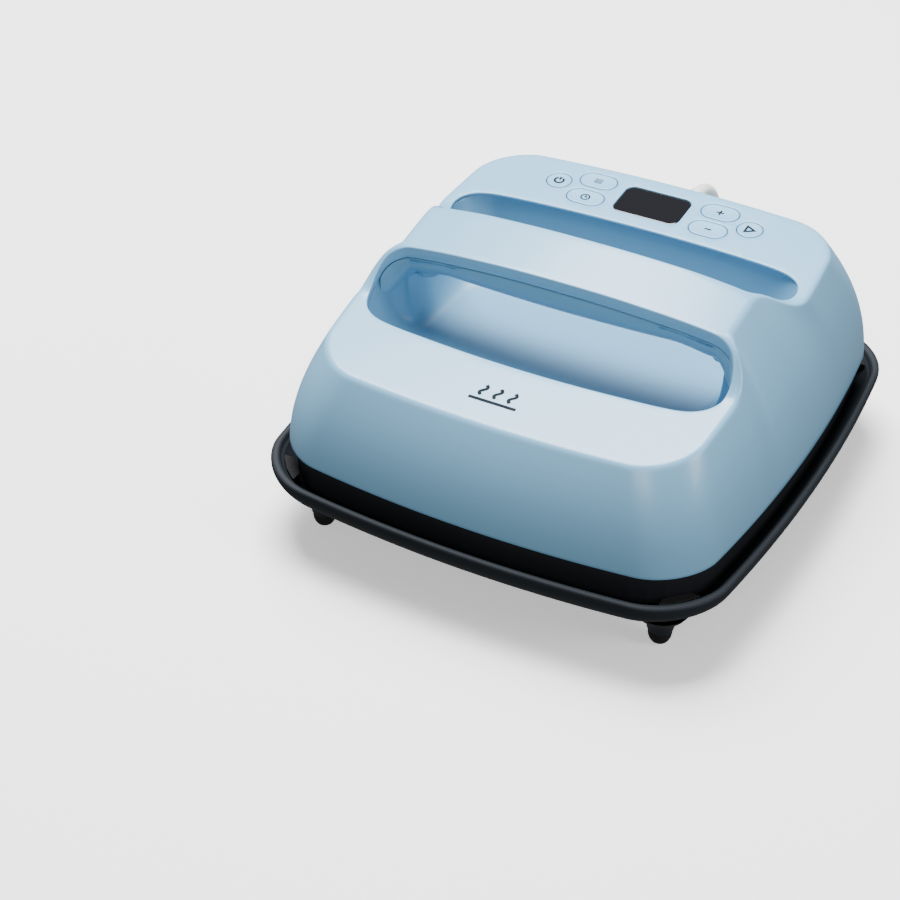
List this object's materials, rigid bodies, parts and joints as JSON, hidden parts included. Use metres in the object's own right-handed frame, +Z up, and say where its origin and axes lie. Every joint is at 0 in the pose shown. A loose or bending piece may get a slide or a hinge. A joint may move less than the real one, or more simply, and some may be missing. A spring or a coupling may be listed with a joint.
{
  "type": "heat press",
  "caption": "Hand-held household heat press in pale blue plastic with an arched carrying handle, a tilted control panel with a small display, and a black open safety base on four feet.",
  "frame": {"origin": "centre of the base's outline on the surface that its feet stand on", "axes": "+X to the right seen from the front, -Y towards the front where the low slope of the casing is, +Z up"},
  "size_m": [0.2704, 0.407, 0.1483],
  "materials": {
    "shell_plastic": "satin gloss",
    "grip_plastic": "satin",
    "button_plastic": "satin",
    "base_plastic": "fine matt",
    "skirt_plastic": "matt",
    "foot_rubber": "matt",
    "silicone": "matt",
    "plate_coating": "non-stick coating",
    "element_steel": "heat-stained",
    "ceramic": "matt",
    "insulation": "woven",
    "sheet_steel": "brushed",
    "brass_parts": "turned",
    "fastener_steel": "zinc plated",
    "display_glass": "polished black",
    "component_plastic": "satin",
    "board": "solder mask",
    "heatsink_aluminium": "extruded",
    "wire_insulation": "satin",
    "cord_rubber": "satin"
  },
  "bodies": {
    "base": {"base_tray": "base_plastic", "base_feet": "foot_rubber", "rest_pads": "silicone", "corner_guides": "base_plastic", "cord_ends": "cord_rubber", "cord_coil": "cord_rubber", "plug_body": "cord_rubber", "plug_pins": "brass_parts"},
    "press": {"top_shell": "shell_plastic", "handle_cover": "grip_plastic", "cavity_liner": "grip_plastic", "skirt_frame": "skirt_plastic", "heat_plate": "plate_coating", "heating_element": "element_steel", "element_terminals": "ceramic", "plate_seal": "silicone", "insulation_blanket": "insulation", "heat_shield": "sheet_steel", "shield_posts": "brass_parts", "shield_screws": "fastener_steel", "plate_screws": "fastener_steel", "shell_screws": "fastener_steel", "handle_screws": "fastener_steel", "thermistor": "component_plastic", "thermal_fuse": "ceramic", "display_lens": "display_glass", "display_module": "component_plastic", "control_board": "board", "tact_switches": "component_plastic", "board_screws": "fastener_steel", "power_board": "board", "board_posts": "brass_parts", "transformer": "component_plastic", "relay": "component_plastic", "capacitors": "component_plastic", "terminal_block": "component_plastic", "power_heatsink": "heatsink_aluminium", "mains_fuse": "ceramic", "buzzer": "component_plastic", "ribbon_cable": "wire_insulation", "element_leads": "wire_insulation", "mains_leads": "wire_insulation", "strain_relief": "cord_rubber", "power_cord": "cord_rubber"},
    "power_key": {"button_power": "button_plastic"},
    "heat_key": {"button_heat": "button_plastic"},
    "timer_key": {"button_timer": "button_plastic"},
    "plus_key": {"button_plus": "button_plastic"},
    "minus_key": {"button_minus": "button_plastic"},
    "start_key": {"button_start": "button_plastic"}
  },
  "joints": [
    {"name": "press_lift", "type": "slide", "parent": "base", "child": "press", "axis": [0, 0, 1], "range_m": [0, 0.12]},
    {"name": "power_press", "type": "slide", "parent": "press", "child": "power_key", "axis": [0, 0.0995, -0.995], "range_m": [0, 0.0008], "stiffness_N_per_m": 400},
    {"name": "heat_press", "type": "slide", "parent": "press", "child": "heat_key", "axis": [0, 0.0995, -0.995], "range_m": [0, 0.0008], "stiffness_N_per_m": 400},
    {"name": "timer_press", "type": "slide", "parent": "press", "child": "timer_key", "axis": [0, 0.0995, -0.995], "range_m": [0, 0.0008], "stiffness_N_per_m": 400},
    {"name": "plus_press", "type": "slide", "parent": "press", "child": "plus_key", "axis": [0, 0.0995, -0.995], "range_m": [0, 0.0008], "stiffness_N_per_m": 400},
    {"name": "minus_press", "type": "slide", "parent": "press", "child": "minus_key", "axis": [0, 0.0995, -0.995], "range_m": [0, 0.0008], "stiffness_N_per_m": 400},
    {"name": "start_press", "type": "slide", "parent": "press", "child": "start_key", "axis": [0, 0.0995, -0.995], "range_m": [0, 0.0008], "stiffness_N_per_m": 400}
  ]
}
